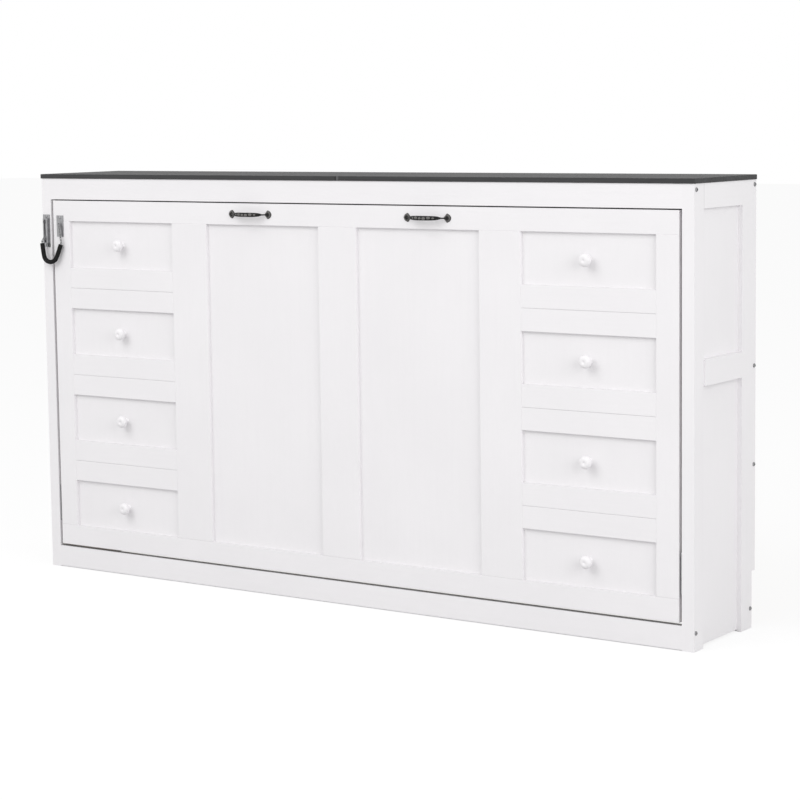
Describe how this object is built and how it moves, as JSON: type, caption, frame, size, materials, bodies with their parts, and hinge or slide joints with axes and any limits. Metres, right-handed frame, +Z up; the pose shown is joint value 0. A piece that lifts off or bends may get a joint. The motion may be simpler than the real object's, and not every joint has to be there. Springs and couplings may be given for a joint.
{
  "type": "wall bed",
  "caption": "Closed horizontal wall bed: a low white cabinet with a grey top whose whole front, with false drawers, false doors, knobs and iron pulls, tips down about a low pivot to form a bed.",
  "frame": {"origin": "On the floor, in the middle of the width, in the plane of the cabinet's front", "axes": "+X to the right as seen from the front, +Y from the front to the wall, +Z up"},
  "size_m": [2.048, 0.353, 1.113],
  "materials": {
    "white_paint": "smooth white paint on wood",
    "grey_top": "satin dark grey paint on wood",
    "bare_pine": "planed pine, clear sealer",
    "bright_steel": "bright zinc plate",
    "black_steel": "black satin paint",
    "black_iron": "black waxed iron",
    "black_rubber": "matt black rubber"
  },
  "bodies": {
    "cabinet": {"top_panel_left": "grey_top", "top_panel_right": "grey_top", "front_post_left": "white_paint", "front_post_right": "white_paint", "rear_post_left": "white_paint", "rear_post_right": "white_paint", "side_panel_left": "white_paint", "side_panel_right": "white_paint", "side_top_rail_left": "white_paint", "side_top_rail_right": "white_paint", "side_mid_rail_left": "white_paint", "side_mid_rail_right": "white_paint", "header_rail": "white_paint", "base_rail": "white_paint", "back_rail_top": "bare_pine", "back_rail_upper": "bare_pine", "back_rail_lower": "bare_pine", "back_rail_bottom": "bare_pine", "top_braces": "bare_pine", "stop_rail": "bare_pine", "carcass_bolts": "bright_steel", "barrel_nuts": "bright_steel", "pivot_plate_left": "bright_steel", "pivot_plate_right": "bright_steel", "strut_anchors": "bright_steel", "chain_track": "bright_steel"},
    "bed": {"front_panel": "white_paint", "front_top_rail": "white_paint", "front_bottom_rail": "white_paint", "stile_outer_left": "white_paint", "stile_outer_right": "white_paint", "stile_inner_left": "white_paint", "stile_inner_right": "white_paint", "stile_centre": "white_paint", "drawer_rails": "white_paint", "drawer_knobs": "white_paint", "pull_left": "black_iron", "pull_right": "black_iron", "chain_anchor": "bright_steel", "bed_rail_top": "bare_pine", "bed_rail_bottom": "bare_pine", "bed_end_left": "bare_pine", "bed_end_right": "bare_pine", "bed_beams": "bare_pine", "slats": "bare_pine", "pivot_bushes": "bright_steel", "strut_studs": "bright_steel", "leg_axles": "bright_steel"},
    "leg_left": {"leg_left": "black_steel", "leg_foot_left": "black_rubber"},
    "leg_right": {"leg_right": "black_steel", "leg_foot_right": "black_rubber"},
    "strut_cylinder_left": {"strut_cylinder_left": "black_steel"},
    "strut_cylinder_right": {"strut_cylinder_right": "black_steel"},
    "strut_rod_left": {"strut_rod_left": "bright_steel"},
    "strut_rod_right": {"strut_rod_right": "bright_steel"},
    "chain": {"chain_links": "bright_steel", "chain_sleeve": "black_rubber", "chain_slider": "bright_steel"}
  },
  "joints": [
    {"name": "bed_tilt", "type": "hinge", "parent": "cabinet", "child": "bed", "pos_m": [0, 0.034, 0.184], "axis": [1, 0, 0], "range_deg": [0, 90]},
    {"name": "leg_left_swing", "type": "hinge", "parent": "bed", "child": "leg_left", "pos_m": [-0.984, 0.066, 0.919], "axis": [1, 0, 0], "range_deg": [-90.5, 0.5]},
    {"name": "strut_left_swing", "type": "hinge", "parent": "cabinet", "child": "strut_cylinder_left", "pos_m": [-0.975, 0.265, 0.43], "axis": [1, 0, 0], "range_deg": [-2.28, 0.3]},
    {"name": "strut_left_slide", "type": "slide", "parent": "strut_cylinder_left", "child": "strut_rod_left", "axis": [0, -0.559, -0.8292], "range_m": [-0.0992, 0.0005]},
    {"name": "leg_right_swing", "type": "hinge", "parent": "bed", "child": "leg_right", "pos_m": [0.984, 0.066, 0.919], "axis": [1, 0, 0], "range_deg": [-90.5, 0.5]},
    {"name": "strut_right_swing", "type": "hinge", "parent": "cabinet", "child": "strut_cylinder_right", "pos_m": [0.975, 0.265, 0.43], "axis": [1, 0, 0], "range_deg": [-2.28, 0.3]},
    {"name": "strut_right_slide", "type": "slide", "parent": "strut_cylinder_right", "child": "strut_rod_right", "axis": [0, -0.559, -0.8292], "range_m": [-0.0992, 0.0005]},
    {"name": "chain_hang", "type": "hinge", "parent": "bed", "child": "chain", "pos_m": [-0.954, -0.007, 0.974], "axis": [1, 0, 0], "range_deg": [-90.5, 0.5]}
  ],
  "couplings": [
    {"joint": "leg_left_swing", "follows": "bed_tilt", "ratio": -1},
    {"joint": "strut_left_swing", "follows": "bed_tilt", "ratio": -0.022025},
    {"joint": "strut_left_slide", "follows": "bed_tilt", "m_per_rad": -0.062544},
    {"joint": "leg_right_swing", "follows": "bed_tilt", "ratio": -1},
    {"joint": "strut_right_swing", "follows": "bed_tilt", "ratio": -0.022025},
    {"joint": "strut_right_slide", "follows": "bed_tilt", "m_per_rad": -0.062544},
    {"joint": "chain_hang", "follows": "bed_tilt", "ratio": -1}
  ]
}
